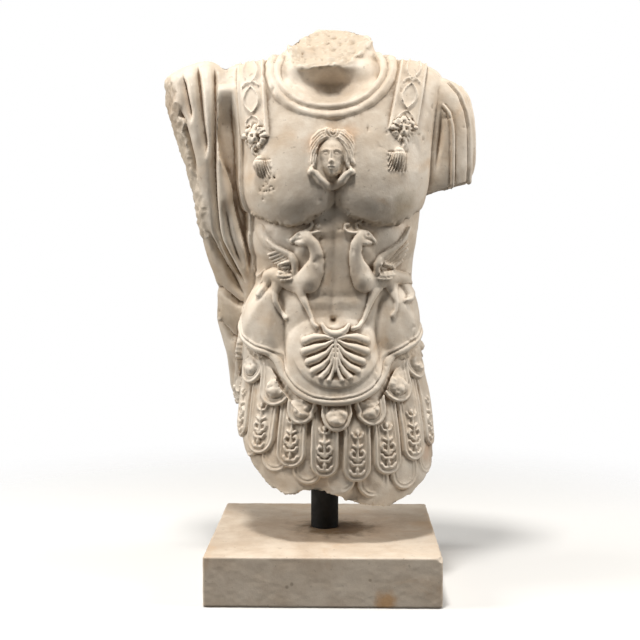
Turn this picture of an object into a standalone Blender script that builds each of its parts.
"""A marble torso in a muscle cuirass, carried on a steel post in a square marble plinth.

The torso is drawn in hundredths of its own height, measured from its lowest point: x runs to
the viewer's right from the breastbone, y away from the viewer and z up. Angles round the
trunk start at the front and grow towards +x. The post, its sockets and the plinth are in metres.
"""

import math

import bmesh
import bpy
import numpy as np
from mathutils import Matrix, Vector

# Driving sizes, in metres
TORSO_HEIGHT = 0.865
TORSO_LIFT = 0.0585
TORSO_OFFSET = 0.018
PLINTH_WIDTH = 0.406
PLINTH_DEPTH = 0.406
PLINTH_HEIGHT = 0.0875
PLINTH_EDGE = 0.004
POST_DIAMETER = 0.051
POST_BACK = 0.016
POST_CLEARANCE = 0.0006
POST_EDGE = 0.0015
SEAT_GAP = 0.0003
PLINTH_SOCKET_DEPTH = 0.050
TORSO_SOCKET_DEPTH = 0.260

# How finely the stone is cut
VOXEL = 0.5
TORSO_TRIANGLES = 8200
TRUNK_COLUMNS = 128
TRUNK_ROWS = 120

UNIT = TORSO_HEIGHT / 100
LIFT = PLINTH_HEIGHT + TORSO_LIFT

# The trunk's section at each height: half width, depth in front, depth behind, squareness
TRUNK = (
    (0, 20.6, 15.4, 13.6, 2.3),
    (7, 21.3, 15.6, 13.9, 2.3),
    (14, 21.6, 15.5, 14.0, 2.3),
    (22, 21.0, 14.5, 13.6, 2.3),
    (30, 19.4, 13.3, 12.6, 2.3),
    (36, 18.2, 12.4, 11.3, 2.3),
    (42, 17.3, 11.9, 10.0, 2.3),
    (47, 16.5, 11.7, 9.3, 2.3),
    (52, 16.8, 11.8, 9.6, 2.4),
    (58, 17.6, 12.2, 10.8, 2.5),
    (64, 18.0, 12.5, 12.0, 2.6),
    (70, 18.7, 12.6, 12.8, 2.7),
    (76, 19.8, 12.4, 13.1, 2.9),
    (81, 20.9, 11.6, 12.8, 3.0),
    (85, 21.9, 10.3, 11.8, 2.9),
    (88, 22.6, 8.8, 10.4, 2.6),
    (90, 21.6, 7.6, 9.0, 2.4),
    (91.2, 19.4, 6.9, 8.2, 2.2),
    (92.0, 16.6, 6.7, 7.8, 2.1),
    (92.7, 13.7, 6.7, 7.6, 2.0),
    (93.5, 11.6, 6.8, 7.4, 2.0),
    (94.6, 10.5, 6.8, 7.2, 2.0),
    (97, 10.1, 6.7, 7.1, 2.0),
    (101, 9.9, 6.6, 7.0, 2.0),
)
TRUNK_SWAY = ((0, 0), (24, 0), (38, -0.8), (47, -0.2), (56, 0), (88, 0), (95, -0.5), (101, -0.5))

# The broken hem's height across the figure, and the slope of the broken neck
HEM = (
    (-22, 20),
    (-19.5, 14.5),
    (-17, 8.9),
    (-14, 5.7),
    (-10, 3.6),
    (-6, 4.5),
    (0, 3.9),
    (4.4, 2.0),
    (9, 1.2),
    (14, 1.9),
    (17, 4.0),
    (20.5, 8.5),
    (22, 11),
)
HEM_ROWS_TO = 26
HEM_RISE = 1.6
NECK_REACH = 11.5
NECK_BREAK = 95.4
NECK_SLOPE = 0.66
NECK_TILT = 0.04
NECK_DOME = (0.012, 0.030)


def eased(start, end, value):
    """0 before start, 1 after end, and a smooth rise between them."""
    t = np.clip((value - start) / (end - start), 0, 1)
    return t * t * (3 - 2 * t)


def bell(value, width):
    return np.exp(-np.square(value / width))


def crease(value, width):
    """1 on a line, falling off sharply at first and then gently, as stone does beside a drilled groove."""
    return np.exp(-np.power(np.abs(value) / width, 1.2))


def through(keys, at):
    """The smooth curve through keyed (place, value) pairs, read at every place in at."""
    places, values = np.array(keys, float).T
    at = np.asarray(at, float)
    slopes = np.gradient(values, places)
    k = np.clip(np.searchsorted(places, at) - 1, 0, len(places) - 2)
    span = places[k + 1] - places[k]
    t = np.clip((at - places[k]) / span, 0, 1)
    start, end = values[k], values[k + 1]
    return (
        start
        + (3 * t**2 - 2 * t**3) * (end - start)
        + span * slopes[k] * (t - 2 * t**2 + t**3)
        + span * slopes[k + 1] * (t**3 - t**2)
    )


def stone_noise(points, size, seed):
    """Smooth noise from -1 to 1 in space, whose lumps are about size across."""
    side = 16
    lattice = np.random.default_rng(seed).uniform(-1, 1, (side, side, side))
    place = np.asarray(points) / size
    cell = np.floor(place).astype(int)
    t = place - cell
    t = t * t * (3 - 2 * t)
    total = np.zeros(len(place))
    for corner in np.ndindex(2, 2, 2):
        index = (cell + corner) % side
        weight = np.prod(np.where(np.array(corner) == 1, t, 1 - t), axis=1)
        total += weight * lattice[index[:, 0], index[:, 1], index[:, 2]]
    return total


def section(height):
    """The trunk's half width, depths in front and behind, and squareness at each height."""
    table = np.array(TRUNK, float)
    return [through(table[:, (0, column)], height) for column in (1, 2, 3, 4)]


def hem_height(x):
    return through(HEM, x)


def neck_break_height(x, y):
    dome = NECK_DOME[0] + (NECK_DOME[1] - NECK_DOME[0]) * eased(-3, 3, y)
    return NECK_BREAK + NECK_SLOPE * y + NECK_TILT * x - dome * np.square(x)


# Muscles of the cuirass
PEC_CENTRE = 9.4
PEC_REACH = 11.0
PEC_LOW = 58.3
PEC_SWELL = 2.1
RIB_SWELL = 0.5
BELLY_CENTRE = (0.4, 32.5)
BELLY_SWELL = 1.5
HIP_CENTRE = (14.2, 38.2)
HIP_SWELL = 1.7
NAVEL = (0.7, 38.8)
NECK_HOLLOW = 2.3


def front_muscles(x, z):
    """How far the cuirass swells in front, from the collar to the belly."""
    u = np.abs(x)
    low = PEC_LOW + 0.05 * np.square(u - PEC_CENTRE)
    edge = np.clip((z - low + 0.6) / 4.5, 0, 1)
    across = np.power(np.clip(1 - np.square((u - PEC_CENTRE) / PEC_REACH), 0, 1), 0.75)
    pecs = PEC_SWELL * across * np.sqrt(edge * (2 - edge)) * (1 - eased(67, 84, z))
    breastbone = -0.55 * bell(x, 1.0) * eased(58, 62, z) * (1 - eased(72, 79, z))
    arch = 57.5 - 0.075 * np.square(u)
    ribs = RIB_SWELL * bell(z - arch + 1.5, 2.6) * eased(2, 6, u) * (1 - eased(15, 18, u))
    middle = eased(34, 40, z) * (1 - eased(56, 59, z))
    straight = 0.5 * (1 - eased(5.5, 8.0, u)) * middle
    seam = -0.5 * bell(x, 0.55) * middle
    bands = sum(-0.28 * bell(z - at, 0.7) for at in (55.2, 49.4, 43.4)) * (1 - eased(5, 7, u))
    hips = np.hypot((u - HIP_CENTRE[0]) / 5.6, (z - HIP_CENTRE[1]) / 7.6)
    hip = HIP_SWELL * np.sqrt(np.clip(1 - np.square(hips), 0, 1))
    groin = -0.7 * bell(u - 9.4 - 0.08 * (z - 38), 1.2) * eased(28, 34, z) * (1 - eased(43, 50, z))
    round_belly = np.hypot((x - BELLY_CENTRE[0]) / 10.5, (z - BELLY_CENTRE[1]) / 10.0)
    belly = BELLY_SWELL * np.power(np.clip(1 - np.square(round_belly), 0, 1), 0.7)
    navel = -1.5 * bell(np.hypot(x - NAVEL[0], (z - NAVEL[1]) * 1.2), 0.85)
    hollow = -NECK_HOLLOW * bell(z - 87.6, 2.9) * (1 - eased(8.5, 11.5, u))
    return pecs + breastbone + ribs + straight + seam + bands + hip + groin + belly + navel + hollow


def back_muscles(x, z):
    """How far the cuirass and skirt swell behind."""
    u = np.abs(x)
    spine = -1.3 * bell(x, 1.7) * eased(36, 44, z) * (1 - eased(80, 88, z))
    blades = 1.0 * bell(np.hypot((u - 9.5) / 6.0, (z - 76) / 8.0), 1.0)
    loins = 0.6 * bell(np.hypot((u - 5.0) / 3.5, (z - 46) / 8.0), 1.0)
    seat = 1.5 * bell(np.hypot((u - 8.0) / 7.0, (z - 21) / 9.0), 1.0)
    return spine + blades + loins + seat


def trunk_points(angle, height):
    """Points on the trunk at each angle and height, with its muscles."""
    width, ahead, behind, square = section(height)
    front = np.cos(angle) > 0
    depth = np.where(front, ahead, behind)
    across, along = np.abs(np.sin(angle)), np.abs(np.cos(angle))
    radius = np.power(
        np.power(across / width, square) + np.power(along / depth, square), -1 / square
    )
    x, y = radius * np.sin(angle), -radius * np.cos(angle)
    normal_x = np.sign(x) * np.power(np.abs(x) / width, square - 1) / width
    normal_y = np.sign(y) * np.power(np.abs(y) / depth, square - 1) / depth
    length = np.hypot(normal_x, normal_y)
    swell = np.where(front, front_muscles(x, height), back_muscles(x, height))
    swell = swell * eased(0, 0.35, np.abs(normal_y) / length)
    x = x + through(TRUNK_SWAY, height) + swell * normal_x / length
    return np.stack([x, y + swell * normal_y / length, height], axis=-1)


def front_y(x, z):
    """The y of the trunk's front at one place seen from the front, without its muscles."""
    width, ahead, _, square = section(z)
    return float(-ahead * max(0.0, 1 - (abs(x) / width) ** square) ** (1 / square))


def loft(rings):
    """A closed mesh through rings of points, with its ends closed to the rings' middles."""
    rings = np.asarray(rings, float)
    rows, columns, _ = rings.shape
    points = [*rings.reshape(-1, 3), rings[0].mean(axis=0), rings[-1].mean(axis=0)]
    low, high = rows * columns, rows * columns + 1
    last = (rows - 1) * columns
    faces = []
    for i in range(columns):
        j = (i + 1) % columns
        faces += [
            (r * columns + i, r * columns + j, (r + 1) * columns + j, (r + 1) * columns + i)
            for r in range(rows - 1)
        ]
        faces.append((low, j, i))
        faces.append((high, last + i, last + j))
    return points, faces


def turn(columns):
    return np.linspace(0, 2 * math.pi, columns, endpoint=False)


def trunk():
    """The cuirass and skirt from the broken hem to the broken neck."""
    angle = turn(TRUNK_COLUMNS)
    rings = []
    for share in (0.3, 0.55, 0.8, 0.95):
        foot = trunk_points(angle, np.full(TRUNK_COLUMNS, 6.0))
        foot[:, :2] *= share
        foot[:, 2] = hem_height(foot[:, 0]) + HEM_RISE * (1 - share**2)
        rings.append(foot)
    for row in np.linspace(0, 100, TRUNK_ROWS):
        ring = trunk_points(angle, np.full(TRUNK_COLUMNS, row))
        if row < HEM_ROWS_TO:
            hem = hem_height(ring[:, 0])
            ring = trunk_points(angle, hem + row / HEM_ROWS_TO * (HEM_ROWS_TO - hem))
        x, y, z = ring.T
        broken = (np.abs(x) < NECK_REACH) & (z > neck_break_height(x, y))
        ring[broken, 2] = neck_break_height(x, y)[broken]
        rings.append(ring)
    return loft(rings)


# Each section of a limb or of the cloak: height, left, right, front, back
ARM_STUMP = (
    (64.5, 15, 28.6, -4.6, 6.6),
    (66.5, 15, 29.2, -5.0, 7.0),
    (72, 16, 29.6, -5.3, 7.4),
    (78, 17, 29.6, -5.4, 7.6),
    (83, 17, 29.2, -5.2, 7.4),
    (86.5, 16, 28.0, -4.6, 6.8),
    (88.6, 15, 26.0, -3.6, 5.8),
    (90.0, 14, 22.5, -2.0, 4.4),
)
ARM_SLOPE = 0.30
DRAPED_ARM = (
    (19, -20.4, -13, 4.0, 12.6),
    (23, -22.2, -13, 3.0, 13.2),
    (28, -24.0, -12, 1.8, 13.0),
    (34, -25.8, -11, 0.6, 12.6),
    (38, -26.2, -11, -0.4, 12.2),
    (42, -25.4, -11, -1.2, 11.8),
    (46, -25.6, -11, -2.4, 11.6),
    (51, -27.2, -11, -4.0, 11.6),
    (58, -28.8, -12, -5.6, 11.8),
    (66, -30.4, -13, -6.8, 12.0),
    (74, -32.8, -14, -7.6, 11.8),
    (81, -34.6, -15, -7.8, 11.2),
    (86, -35.4, -16, -7.2, 10.0),
    (89, -35.2, -17, -5.8, 8.2),
    (91, -32.0, -18, -3.8, 6.4),
    (92.2, -29.0, -20, -1.8, 4.4),
)


def limb(sections, rows, columns, squareness=2.4):
    """A closed mass through boxes that are given at a few heights, with rounded sides."""
    table = np.array(sections, float)
    angle = turn(columns)
    across, along = np.abs(np.sin(angle)), np.abs(np.cos(angle))
    reach = np.power(across**squareness + along**squareness, -1 / squareness)
    rings = []
    for height in np.linspace(table[0, 0], table[-1, 0], rows):
        left, right, front, back = (through(table[:, (0, c)], height) for c in (1, 2, 3, 4))
        x = (left + right) / 2 + reach * np.sin(angle) * (right - left) / 2
        y = (front + back) / 2 - reach * np.cos(angle) * (back - front) / 2
        rings.append(np.stack([x, y, np.full(columns, float(height))], axis=-1))
    return np.array(rings)


def arm_stump():
    rings = limb(ARM_STUMP, 40, 48)
    low = ARM_STUMP[0][0]
    share = 1 - eased(low, low + 12, rings[..., 2])
    rings[..., 2] += ARM_SLOPE * (rings[..., 0] - 19) * share
    return loft(rings)


def draped_arm():
    return loft(limb(DRAPED_ARM, 80, 64))


# The cloak that falls down the back from the draped shoulder
CLOAK_TOP = 90.0
CLOAK_FOOT = 9.0
CLOAK_EDGE = ((9, 9.0), (30, 7.5), (50, 5.0), (70, 0.5), (84, -5.0), (90, -9.5))
CLOAK_STANDS_OFF = 1.3
CLOAK_FOLDS = 9


def cloak_edge(z):
    return through(CLOAK_EDGE, z)


def back_cloak():
    """A thick sheet over the back, from the draped side to the cloak's free edge."""
    rows, columns = 70, 40
    outer, inner = [], []
    for height in np.linspace(CLOAK_FOOT, CLOAK_TOP, rows):
        width, _, behind, square = section(height)
        reach = min(float(cloak_edge(height)) + 1.0, width * 0.9)
        left = width * (0.97 - 0.4 * (1 - eased(CLOAK_FOOT, CLOAK_FOOT + 15, height)))
        x = np.linspace(-left, reach, columns)
        y = behind * np.power(np.clip(1 - np.power(np.abs(x) / width, square), 0.02, 1), 1 / square)
        stand = CLOAK_STANDS_OFF + 0.9 * back_muscles(x, height)
        z = np.full(columns, height)
        outer.append(np.stack([x, y + stand, z], axis=-1))
        inner.append(np.stack([x, y - 3.0, z], axis=-1))
    rings = [np.concatenate([a, b[::-1]]) for a, b in zip(outer, inner)]
    points, faces = loft(rings)
    return points, [face[::-1] for face in faces]


# The collar's two rolls
COLLAR_ROLLS = ((11.9, 10.5, 0.80), (13.75, 12.4, 0.95))
COLLAR_LEVEL = 92.2


def collar_path(reach, drop):
    """One roll's line: along the chest in front, over the shoulders, and behind the neck."""
    path = []
    for angle in np.linspace(0, math.radians(80), 12):
        x, z = reach * math.sin(angle), COLLAR_LEVEL - drop * math.cos(angle)
        path.append((x, front_y(x, z) + 0.25, z))
    rise = 0.5 * (reach - COLLAR_ROLLS[0][0])
    path.append((reach + 0.2, -2.6, COLLAR_LEVEL + 0.3 - rise))
    path.append((reach + 0.1, 0.8, COLLAR_LEVEL + 0.8 - rise))
    for angle in np.linspace(math.radians(35), math.radians(90), 6):
        level = COLLAR_LEVEL + 0.9 + 0.8 * math.sin(angle) - rise
        path.append((reach * math.cos(angle), (7.6 + rise) * math.sin(angle) + 0.4, level))
    path += [(-x, y, z) for x, y, z in path[-2:0:-1]]
    return path + path[:3]


def tube(path, radius, sides=12):
    """A round tube along a path of points, capped at both ends."""
    path = np.asarray(path, float)
    radius = np.broadcast_to(radius, len(path))
    along = np.gradient(path, axis=0)
    along /= np.linalg.norm(along, axis=1)[:, None]
    side = np.cross(along[0], (0.31, -0.9, 0.3))
    angle = turn(sides)
    rings = []
    for point, way, reach in zip(path, along, radius):
        side = side - way * side.dot(way)
        side /= np.linalg.norm(side)
        up = np.cross(way, side)
        rings.append(point + reach * (np.outer(np.cos(angle), side) + np.outer(np.sin(angle), up)))
    return loft(rings)


def egg(centre, size, lean=0.0, segments=20, rings=14):
    """An ellipsoid of three half sizes, leaning about y by an angle in degrees."""
    made = bmesh.new()
    place = Matrix.Translation(centre) @ Matrix.Rotation(math.radians(lean), 4, "Y")
    place = place @ Matrix.Diagonal((*size, 1))
    bmesh.ops.create_uvsphere(
        made, u_segments=segments, v_segments=rings, radius=1, matrix=place
    )
    points = [tuple(vertex.co) for vertex in made.verts]
    faces = [tuple(vertex.index for vertex in face.verts) for face in made.faces]
    made.free()
    return points, faces


def on_chest(x, z, above):
    """The point that stands above the chest, muscles counted, seen at x and z."""
    swell = float(front_muscles(np.array([x], float), np.array([z], float))[0])
    return x, front_y(x, z) - swell - above, z


# The mask on the breastbone
MASK = (-0.2, 71.0)
MASK_FACE = (2.75, 3.9)
MASK_RISE = 1.9


def mask():
    """A face in high relief, with a cap of hair, locks at its sides and a knotted tie below."""
    x, z = MASK
    half, tall = MASK_FACE
    shapes = [egg(on_chest(x, z, -0.5), (half, MASK_RISE + 0.9, tall))]
    shapes.append(egg(on_chest(x, z + 3.1, -0.9), (half + 0.9, MASK_RISE + 0.7, 2.4)))
    for side in (-1, 1):
        locks = [
            (x + side * reach, z + rise)
            for reach, rise in ((0.4, 4.9), (2.2, 4.2), (3.4, 2.2), (3.7, 0.0), (3.5, -2.0), (4.1, -2.8))
        ]
        path = [on_chest(a, b, 0.2) for a, b in locks]
        shapes.append(tube(path, (0.7, 0.95, 1.0, 0.9, 0.7, 0.4)))
        tie = [
            (x + side * reach, z + rise)
            for reach, rise in ((4.0, -3.4), (2.7, -3.7), (1.7, -5.0), (0.1, -5.8))
        ]
        path = [on_chest(a, b, 0.15) for a, b in tie]
        shapes.append(tube(path, (0.5, 0.65, 0.7, 0.65)))
    shapes.append(egg(on_chest(x, z - 4.3, -0.5), (1.5, 1.2, 1.4)))
    return shapes


# Each shoulder strap: its middle line's x at the top and foot, the heights of both, and the
# places of its lion, ring and tassel
STRAPS = (
    {"top": -17.2, "foot": -15.7, "low": 75.4, "lion": (-16.1, 76.2), "ring": (-15.6, 73.8), "tassel": (-14.5, 70.2)},
    {"top": 16.3, "foot": 13.6, "low": 76.8, "lion": (14.0, 77.5), "ring": (13.5, 75.2), "tassel": (12.7, 71.7)},
)
STRAP_HALF = 2.8
STRAP_TOP = 91.0
STRAP_RISE = 0.55


def strap_line(strap, z):
    share = (STRAP_TOP - z) / (STRAP_TOP - strap["low"])
    return strap["top"] + (strap["foot"] - strap["top"]) * share


def strap_ends():
    """A lion's head, a ring in its mouth and a tassel at the foot of each strap."""
    shapes = []
    for strap in STRAPS:
        x, z = strap["lion"]
        shapes.append(egg(on_chest(x, z, 0.0), (1.6, 1.3, 1.7)))
        shapes.append(egg(on_chest(x, z - 0.5, 1.0), (0.75, 0.6, 0.7)))
        for side in (-1, 1):
            shapes.append(egg(on_chest(x + side * 1.4, z - 0.7, 0.1), (0.7, 0.8, 0.9)))
        x, z = strap["ring"]
        middle = Vector(on_chest(x, z, 0.35))
        loop = np.linspace(0, 2.2 * math.pi, 16)
        path = [middle + Vector((0.95 * math.sin(a), 0, 0.95 * math.cos(a))) for a in loop]
        shapes.append(tube(path, 0.34, sides=8))
        x, z = strap["tassel"]
        shapes.append(egg(on_chest(x, z, 0.1), (1.35, 1.1, 2.1), lean=-12 if x < 0 else 12))
    return shapes


def joined(shapes):
    """One mesh object in figure units from lists of points and faces."""
    points, faces = [], []
    for shape_points, shape_faces in shapes:
        start = len(points)
        points += [tuple(point) for point in shape_points]
        faces += [tuple(start + i for i in face) for face in shape_faces]
    mesh = bpy.data.meshes.new("stone_block")
    mesh.from_pydata(points, [], faces)
    block = bpy.data.objects.new("stone_block", mesh)
    bpy.context.scene.collection.objects.link(block)
    return block


def fused(block, voxel):
    """The block's overlapping shapes as one skin: a mesh, its points and their smooth normals."""
    fuse = block.modifiers.new("Fuse", "REMESH")
    fuse.mode = "VOXEL"
    fuse.voxel_size = voxel
    smooth = block.modifiers.new("Smooth", "SMOOTH")
    smooth.iterations = 2
    graph = bpy.context.evaluated_depsgraph_get()
    mesh = bpy.data.meshes.new_from_object(block.evaluated_get(graph))
    bpy.data.objects.remove(block)
    points = np.empty(len(mesh.vertices) * 3, np.float32)
    mesh.vertices.foreach_get("co", points)
    normals = np.empty(len(mesh.vertices) * 3, np.float32)
    mesh.vertices.foreach_get("normal", normals)
    return mesh, points.reshape(-1, 3).astype(float), normals.reshape(-1, 3).astype(float)


# Flat carving on the front, as strokes of x, height and half width
GRIFFIN = (
    ((8.4, 54.9, 0.7), (6.8, 56.0, 1.2), (5.0, 55.8, 1.4), (4.4, 54.0, 1.3)),
    ((4.4, 54.0, 1.4), (4.0, 51.2, 1.5), (4.6, 48.2, 1.9), (7.0, 46.6, 2.5), (9.8, 46.8, 2.3)),
    ((9.8, 46.8, 2.2), (12.4, 47.0, 2.4), (13.4, 46.2, 2.0)),
    ((6.4, 45.6, 1.4), (7.6, 42.6, 0.9), (6.6, 39.4, 0.7), (4.6, 37.5, 0.7)),
    ((13.4, 46.4, 1.6), (12.2, 43.2, 0.9), (11.9, 39.4, 0.7)),
    ((14.4, 46.2, 1.2), (15.0, 43.6, 0.7)),
    ((9.0, 48.6, 1.6), (10.4, 51.4, 1.6), (13.0, 54.4, 1.0), (15.2, 56.8, 0.5)),
    ((10.6, 48.4, 1.5), (13.4, 51.4, 1.2), (15.0, 53.4, 0.5)),
)
GRIFFIN_MIDDLE = 0.3
GRIFFIN_RISE = 0.75
PALM_ROOT = (0.7, 36.0)
PALM_REACH = ((-78, 7.4), (-58, 7.6), (-38, 8.6), (-18, 9.0), (0, 9.4), (18, 9.0), (38, 8.6), (58, 7.6), (78, 7.0))
PALM_RISE = 0.6

# The belt line's height round the waist, and the tongues below it
BELT = (
    (-100, 41.5),
    (-82, 39.5),
    (-74, 36.5),
    (-67, 33.5),
    (-60, 32.9),
    (-48, 31.4),
    (-42, 28.7),
    (-32, 25.9),
    (-19, 24.0),
    (2, 23.0),
    (22, 24.0),
    (37, 25.9),
    (46, 30.0),
    (50, 31.7),
    (61, 33.4),
    (77, 35.8),
    (100, 39.5),
    (150, 41.5),
    (210, 41.5),
    (260, 41.5),
)
BELT_HALF = 0.75
BELT_RISE = 0.45
LAPPETS = (
    (-65, 8.5, 25.8),
    (-45.5, 11, 21.8),
    (-25, 11.5, 18.3),
    (1.8, 13.2, 17.0),
    (29, 12.8, 17.9),
    (51, 9.8, 22.1),
    (69, 9, 26.5),
    (88, 10, 30.0),
    (108, 10, 31.5),
    (128, 10, 32.0),
    (148, 10, 32.0),
    (168, 10, 32.0),
    (188, 10, 32.0),
    (208, 10, 32.0),
    (228, 10, 32.0),
    (248, 10, 31.0),
    (267, 9.5, 30.0),
    (281.5, 7, 28.5),
)
TONGUES = (
    (-69, 9, 13.6),
    (-50, 10, 11.7),
    (-29, 11.5, 9.4),
    (-5.5, 12, 7.5),
    (18.3, 11.8, 6.6),
    (39.7, 9.8, 7.8),
    (58, 8.8, 10.0),
    (76.5, 9.5, 12.0),
    (97, 11, 13.0),
    (119.5, 11.5, 13.0),
    (142.5, 11.5, 12.5),
    (166, 11.8, 12.0),
    (189.5, 11.7, 12.0),
    (212.5, 11.5, 12.5),
    (235, 11, 13.0),
    (255, 9, 13.5),
    (273, 9, 14.0),
)
LAPPET_LEVEL, TONGUE_LEVEL, UNDER_LEVEL, TUNIC_LEVEL = -0.2, -1.0, -1.5, -2.0
UNDER_DROP = 3.0

# Folds of the draped arm, as grooves of x and height seen from the front: depth, width, line
ARM_GROOVES = (
    (1.3, 0.8, ((-31.1, 89.6), (-30.2, 84.0), (-29.2, 79.1))),
    (1.2, 0.9, ((-28.4, 92.0), (-27.7, 83.9), (-26.5, 75.2))),
    (1.5, 0.9, ((-24.9, 91.0), (-23.9, 85.0), (-24.3, 75.0), (-24.9, 66.0), (-24.7, 56.6), (-22.9, 51.4), (-18.7, 45.2))),
    (1.3, 0.9, ((-31.1, 79.1), (-29.8, 74.3), (-28.8, 66.8))),
    (1.3, 0.9, ((-26.4, 55.3), (-24.7, 51.2), (-22.0, 46.6), (-19.1, 43.5))),
    (1.5, 1.0, ((-26.0, 41.8), (-22.5, 42.6), (-19.3, 41.2), (-16.0, 41.0))),
    (0.9, 1.0, ((-24.2, 36.7), (-20.9, 34.2), (-18.5, 28.0))),
    (0.9, 1.2, ((-23.5, 31.0), (-21.0, 26.0), (-19.8, 19.0))),
)
ROUGHNESS = 0.5


def to_segment(x, z, start, end):
    """Each point's distance to a segment, and how far along it the nearest place lies, from 0 to 1."""
    ax, az = start[:2]
    run_x, run_z = end[0] - ax, end[1] - az
    share = np.clip(((x - ax) * run_x + (z - az) * run_z) / (run_x**2 + run_z**2), 0, 1)
    return np.hypot(x - ax - share * run_x, z - az - share * run_z), share


def stroke(x, z, path):
    """A rounded bar along a path of x, height and half width: 1 on its middle line, 0 outside."""
    best = np.zeros_like(x)
    for start, end in zip(path, path[1:]):
        away, share = to_segment(x, z, start, end)
        width = start[2] + share * (end[2] - start[2])
        best = np.maximum(best, 1 - np.square(away / width))
    return np.sqrt(best)


def line_distance(x, z, path):
    return np.min([to_segment(x, z, a, b)[0] for a, b in zip(path, path[1:])], axis=0)


def front_carving(x, z):
    """Straps, griffins and palmette on the front of the cuirass."""
    best = np.zeros_like(x)
    for strap in STRAPS:
        across = np.abs(x - strap_line(strap, z))
        band = 1 - eased(STRAP_HALF - 0.3, STRAP_HALF + 0.3, across)
        best = np.maximum(best, STRAP_RISE * band * eased(strap["low"] - 0.5, strap["low"] + 0.5, z))
    mirrored = np.abs(x - GRIFFIN_MIDDLE) + GRIFFIN_MIDDLE
    for path in GRIFFIN:
        best = np.maximum(best, GRIFFIN_RISE * stroke(mirrored, z, path))
    root_x, root_z = PALM_ROOT
    for degrees, reach in PALM_REACH:
        way = math.radians(degrees)
        tip = (root_x + reach * math.sin(way), root_z - reach * math.cos(way), 0.9)
        best = np.maximum(best, PALM_RISE * stroke(x, z, ((root_x, root_z, 0.5), tip)))
    return best


def tongue_row(angle, z, row, drop=0.0):
    """1 on a row of hanging tongues with round ends, 0 in the gaps between them and below."""
    best = np.zeros_like(z)
    for middle, half, foot in row:
        across = np.abs((angle - middle + 180) % 360 - 180) / half
        end = foot - drop + 2.6 * np.square(np.minimum(across, 1))
        inside = (1 - eased(0.86, 0.98, across)) * eased(end - 0.1, end + 0.4, z)
        best = np.maximum(best, inside)
    return best


def skirt_carving(angle, z):
    """The belt and, under it, the layers of lappets, long tongues and tunic."""
    belt = through(BELT, (angle + 100) % 360 - 100)
    lappets = tongue_row(angle, z, LAPPETS)
    tongues = tongue_row(angle, z, TONGUES)
    shifted = [(middle + 11, half, foot) for middle, half, foot in TONGUES]
    under = tongue_row(angle, z, shifted, UNDER_DROP)
    layer = TUNIC_LEVEL + (UNDER_LEVEL - TUNIC_LEVEL) * under
    layer = np.maximum(layer, TUNIC_LEVEL + (TONGUE_LEVEL - TUNIC_LEVEL) * tongues)
    layer = np.maximum(layer, TUNIC_LEVEL + (LAPPET_LEVEL - TUNIC_LEVEL) * lappets)
    above = eased(belt - BELT_HALF - 0.15, belt - BELT_HALF + 0.15, z)
    moulding = BELT_RISE * (1 - eased(BELT_HALF - 0.2, BELT_HALF + 0.2, np.abs(z - belt)))
    return layer * (1 - above) + moulding


def cloth_folds(points):
    """Grooves on the draped arm in front, and hanging folds on the cloak behind."""
    x, y, z = points.T
    front = 1 - eased(2.0, 5.0, y)
    depth = np.zeros_like(x)
    for deep, width, path in ARM_GROOVES:
        depth = np.minimum(depth, -deep * crease(line_distance(x, z, path), width))
    spread = np.clip((x + 27) / (cloak_edge(z) + 27), 0, 1)
    wave = np.cos(2 * math.pi * (CLOAK_FOLDS * np.power(spread, 0.9) + 0.03 * (z - 50) * (1 - spread)))
    behind = eased(3.0, 6.0, y) * (1 - eased(0.0, 1.5, x - cloak_edge(z)))
    return depth * front + 0.75 * wave * behind * (0.5 + 0.5 * eased(90, 60, z))


def carved(points, normals):
    """The points moved along their normals by the carving, the cloth's folds and the rough breaks."""
    x, y, z = points.T
    centre = through(TRUNK_SWAY, z)
    angle = np.arctan2(x - centre, -y)
    skin = trunk_points(angle, z)
    stands_off = np.hypot(x - centre, y) - np.hypot(skin[:, 0] - centre, skin[:, 1])
    on_trunk = 1 - eased(0.8, 1.5, stands_off)
    facing = eased(0.15, 0.5, -normals[:, 1])
    lift = front_carving(x, z) * on_trunk * facing
    lift += skirt_carving(np.degrees(angle), z) * on_trunk * eased(0.2, 0.5, np.hypot(*normals.T[:2]))
    cloth = eased(0.8, 1.5, stands_off) * (1 - eased(-14, -10, x - 18 * eased(2, 4, y)))
    lift += cloth_folds(points) * cloth
    broken = eased(-0.9, -0.3, z - neck_break_height(x, y)) * (np.abs(x) < NECK_REACH)
    broken = np.maximum(broken, eased(0.6, 0.8, -normals[:, 2]) * eased(68, 60, z))
    broken = np.maximum(broken, 0.7 * eased(-29, -31, x) * eased(0.3, 0.6, -normals[:, 0]))
    lift = lift * (1 - eased(0.3, 1.0, broken)) + ROUGHNESS * broken * (
        stone_noise(points, 3.2, 1) + 0.5 * stone_noise(points, 1.3, 2)
    )
    return points + normals * lift[:, None]


def material(name, colour, roughness, metallic):
    """A plain Principled material in one colour."""
    made = bpy.data.materials.new(name)
    made.use_nodes = True
    shader = made.node_tree.nodes["Principled BSDF"]
    shader.inputs["Base Color"].default_value = (*colour, 1)
    shader.inputs["Roughness"].default_value = roughness
    shader.inputs["Metallic"].default_value = metallic
    return made


def node(name, mesh, made_of):
    """A named object that shows the mesh in one material."""
    for polygon in mesh.polygons:
        polygon.material_index = 0
    mesh.materials.clear()
    mesh.materials.append(made_of)
    made = bpy.data.objects.new(name, mesh)
    bpy.context.scene.collection.objects.link(made)
    return made


def modified(made):
    """The object's mesh with its modifiers applied."""
    graph = bpy.context.evaluated_depsgraph_get()
    mesh = bpy.data.meshes.new_from_object(made.evaluated_get(graph))
    made.modifiers.clear()
    made.data = mesh


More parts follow.
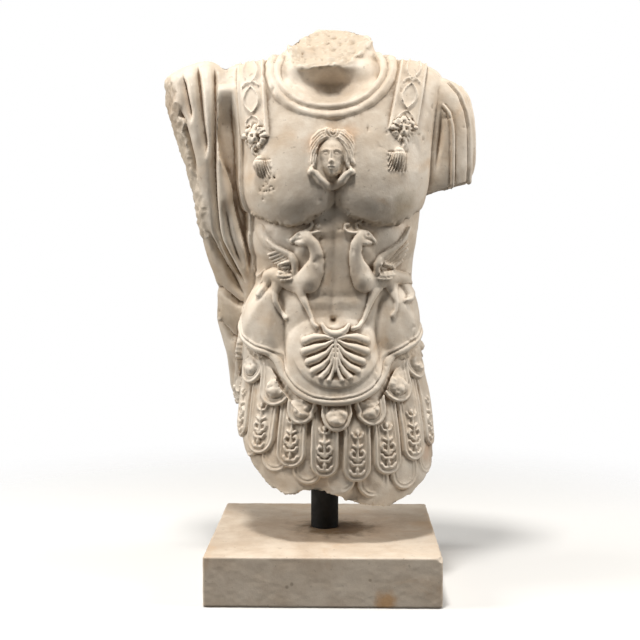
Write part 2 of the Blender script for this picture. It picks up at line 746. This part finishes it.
def rod(name, width, low, high, edge=0.0):
    """A round rod standing on the post's axis, with its ends' edges chamfered."""
    made = bmesh.new()
    place = Matrix.Translation((0, POST_BACK, (low + high) / 2))
    bmesh.ops.create_cone(
        made, cap_ends=True, segments=64, radius1=width / 2, radius2=width / 2, depth=high - low, matrix=place
    )
    if edge:
        rims = [e for e in made.edges if abs(e.verts[0].co.z - e.verts[1].co.z) < 1e-6]
        bmesh.ops.bevel(made, geom=rims, offset=edge, segments=2, affect="EDGES", profile=0.5)
    mesh = bpy.data.meshes.new(name)
    made.to_mesh(mesh)
    made.free()
    return mesh


def cut(made, mesh):
    """Removes a closed mesh from the object."""
    cutter = bpy.data.objects.new(mesh.name, mesh)
    bpy.context.scene.collection.objects.link(cutter)
    cutter.hide_render = True
    cutter.display_type = "WIRE"
    hole = made.modifiers.new(mesh.name, "BOOLEAN")
    hole.operation = "DIFFERENCE"
    hole.solver = "EXACT"
    hole.object = cutter


def stone_torso(marble):
    """The carved torso as one solid, with the post's socket bored up into it."""
    shapes = [trunk(), arm_stump(), draped_arm(), back_cloak()]
    shapes += [tube(collar_path(reach, drop), radius) for reach, drop, radius in COLLAR_ROLLS]
    shapes += mask() + strap_ends()
    mesh, points, normals = fused(joined(shapes), VOXEL)
    points = carved(points, normals) * UNIT + (TORSO_OFFSET, 0, LIFT)
    mesh.vertices.foreach_set("co", points.astype(np.float32).ravel())
    mesh.update()
    torso = node("torso", mesh, marble)
    coarse = torso.modifiers.new("Coarse", "DECIMATE")
    coarse.ratio = TORSO_TRIANGLES / (2 * len(mesh.polygons))
    modified(torso)
    top = LIFT + TORSO_SOCKET_DEPTH
    cut(torso, rod("torso_socket", POST_DIAMETER + POST_CLEARANCE, LIFT - 0.05, top))
    return torso


def steel_post(steel):
    low = PLINTH_HEIGHT - PLINTH_SOCKET_DEPTH + SEAT_GAP
    high = LIFT + TORSO_SOCKET_DEPTH - SEAT_GAP
    post = node("post", rod("post", POST_DIAMETER, low, high, POST_EDGE), steel)
    for polygon in post.data.polygons:
        polygon.use_smooth = abs(polygon.normal.z) < 0.5
    return post


def square_plinth(marble):
    """The plinth with softened edges and the post's socket in its top."""
    made = bmesh.new()
    place = Matrix.Translation((0, 0, PLINTH_HEIGHT / 2))
    place = place @ Matrix.Diagonal((PLINTH_WIDTH, PLINTH_DEPTH, PLINTH_HEIGHT, 1))
    bmesh.ops.create_cube(made, size=1, matrix=place)
    bmesh.ops.bevel(
        made, geom=made.edges, offset=PLINTH_EDGE, segments=2, affect="EDGES", profile=0.6
    )
    mesh = bpy.data.meshes.new("plinth")
    made.to_mesh(mesh)
    made.free()
    plinth = node("plinth", mesh, marble)
    low = PLINTH_HEIGHT - PLINTH_SOCKET_DEPTH
    width = POST_DIAMETER + POST_CLEARANCE
    cut(plinth, rod("plinth_socket", width, low, PLINTH_HEIGHT + 0.05))
    return plinth


def main():
    for old in list(bpy.data.objects):
        bpy.data.objects.remove(old)
    marble = material("torso_marble", (0.72, 0.65, 0.55), 0.55, 0)
    stone_torso(marble)
    steel_post(material("post_steel", (0.03, 0.03, 0.03), 0.45, 1))
    square_plinth(material("plinth_marble", (0.70, 0.62, 0.54), 0.5, 0))


if __name__ == "__main__":
    main()
